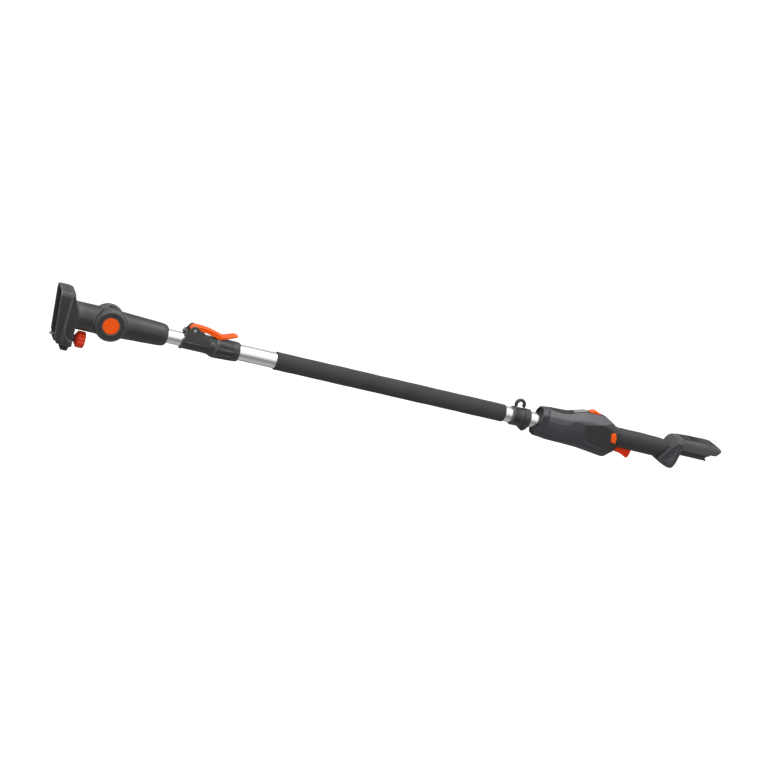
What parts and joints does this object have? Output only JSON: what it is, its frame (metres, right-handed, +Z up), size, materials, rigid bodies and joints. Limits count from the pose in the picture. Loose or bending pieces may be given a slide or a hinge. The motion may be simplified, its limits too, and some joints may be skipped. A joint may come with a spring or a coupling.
{
  "type": "telescoping pole saw",
  "caption": "Powered telescopic pole of a pole saw: sliding aluminium tubes with a cam clamp, tilting tool socket, trigger handle, strap eye and slide-on battery dock.",
  "frame": {"origin": "centre of the tool socket's open face, on the pole's axis", "axes": "+X along the pole from the socket to the battery dock, +Y to the right of a user facing the socket, +Z up"},
  "size_m": [1.4418, 0.074, 0.1226],
  "materials": {
    "dark_plastic": "fine matt spark texture",
    "black_plastic": "matt",
    "slate_plastic": "satin",
    "grey_plastic": "satin, fine texture",
    "orange_plastic": "satin gloss",
    "red_plastic": "satin",
    "grip_rubber": "fine ribs",
    "foam": "closed-cell foam, matt",
    "aluminium": "drawn and clear anodised",
    "steel": "zinc plated",
    "contact_brass": "plated",
    "bush_plastic": "natural acetal",
    "board": "lacquered board"
  },
  "bodies": {
    "handle": {"clamp_body": "dark_plastic", "clamp_band": "steel", "clamp_bolt": "steel", "clamp_shoe": "black_plastic", "lever_pin": "steel", "clamp_collar": "dark_plastic", "outer_tube": "aluminium", "foam_sleeve": "foam", "front_plate": "grey_plastic", "tube_socket": "black_plastic", "housing_left": "slate_plastic", "housing_right": "slate_plastic", "side_panel_left": "grey_plastic", "side_panel_right": "grey_plastic", "side_insert_left": "grip_rubber", "side_insert_right": "grip_rubber", "top_cover": "slate_plastic", "top_pad": "grey_plastic", "pivot_pins": "steel", "trigger_spring": "steel", "switch_module": "black_plastic", "circuit_board": "board", "power_lead": "black_plastic", "housing_screws": "black_plastic", "grip_sleeve": "grip_rubber", "rear_guard": "slate_plastic", "dock_cover": "grey_plastic", "dock_rails": "slate_plastic", "terminal_block": "black_plastic", "terminal_blades": "contact_brass", "coiled_lead": "black_plastic"},
    "inner_pole": {"inner_tube": "aluminium", "guide_bush": "bush_plastic", "boot": "dark_plastic", "detent_ring": "steel", "boot_screws": "steel"},
    "head": {"head_frame": "dark_plastic", "socket_foot": "black_plastic", "contact_block": "black_plastic", "contact_pins": "contact_brass", "head_back": "dark_plastic", "head_screws": "steel", "front_neck": "dark_plastic", "knuckle_fork": "dark_plastic", "elbow_axle": "steel", "far_cap": "dark_plastic", "button_spring": "steel"},
    "elbow_release": {"elbow_button": "orange_plastic", "lock_plate": "steel"},
    "thumb_carrier": {"thumb_washer": "black_plastic"},
    "thumb_screw": {"thumb_bolt": "steel", "thumb_knob": "red_plastic"},
    "cam_lever": {"clamp_lever": "orange_plastic"},
    "strap_carrier": {"strap_liner": "black_plastic"},
    "strap_ring": {"strap_clamp": "dark_plastic", "strap_screw": "black_plastic"},
    "rocker": {"power_rocker": "orange_plastic"},
    "lock_left": {"lock_off_left": "orange_plastic"},
    "lock_right": {"lock_off_right": "orange_plastic"},
    "trigger_lever": {"trigger": "red_plastic"}
  },
  "joints": [
    {"name": "pole_slide", "type": "slide", "parent": "handle", "child": "inner_pole", "axis": [-1, 0, 0], "range_m": [0, 0.5], "deforming": ["coiled_lead"]},
    {"name": "elbow_tilt", "type": "hinge", "parent": "inner_pole", "child": "head", "pos_m": [0.106, 0, 0], "axis": [0, 1, 0], "range_deg": [-60, 60]},
    {"name": "elbow_button_press", "type": "slide", "parent": "head", "child": "elbow_release", "axis": [0, 1, 0], "range_m": [0, 0.004], "stiffness_N_per_m": 900, "springref_m": -0.003, "deforming": ["button_spring"]},
    {"name": "thumb_travel", "type": "slide", "parent": "head", "child": "thumb_carrier", "axis": [1, 0, 0], "range_m": [0, 0.006]},
    {"name": "thumb_turn", "type": "hinge", "parent": "thumb_carrier", "child": "thumb_screw", "pos_m": [0.03, 0, -0.046], "axis": [1, 0, 0], "range_deg": [0, 1440]},
    {"name": "lever_swing", "type": "hinge", "parent": "handle", "child": "cam_lever", "pos_m": [0.2703, 0, 0.0254], "axis": [0, -1, 0], "range_deg": [0, 110]},
    {"name": "strap_slide", "type": "slide", "parent": "handle", "child": "strap_carrier", "axis": [1, 0, 0], "range_m": [-0.012, 0.008]},
    {"name": "strap_turn", "type": "hinge", "parent": "strap_carrier", "child": "strap_ring", "pos_m": [0.9827, 0, 0], "axis": [1, 0, 0], "range_deg": [-90, 90]},
    {"name": "rocker_tilt", "type": "hinge", "parent": "handle", "child": "rocker", "pos_m": [1.141, 0, 0.0435], "axis": [0, 1, 0], "range_deg": [-6, 6]},
    {"name": "lock_left_press", "type": "slide", "parent": "handle", "child": "lock_left", "axis": [0, 1, 0], "range_m": [0, 0.0035], "stiffness_N_per_m": 600, "springref_m": -0.002},
    {"name": "lock_right_press", "type": "slide", "parent": "handle", "child": "lock_right", "axis": [0, -1, 0], "range_m": [0, 0.0035], "stiffness_N_per_m": 600, "springref_m": -0.002},
    {"name": "trigger_pull", "type": "hinge", "parent": "handle", "child": "trigger_lever", "pos_m": [1.212, 0, -0.006], "axis": [0, -1, 0], "range_deg": [0, 9], "stiffness_Nm_per_rad": 0.6, "springref_deg": -5.73, "deforming": ["trigger_spring"]}
  ],
  "couplings": [
    {"joint": "thumb_turn", "follows": "thumb_travel", "rad_per_m": 4188}
  ]
}
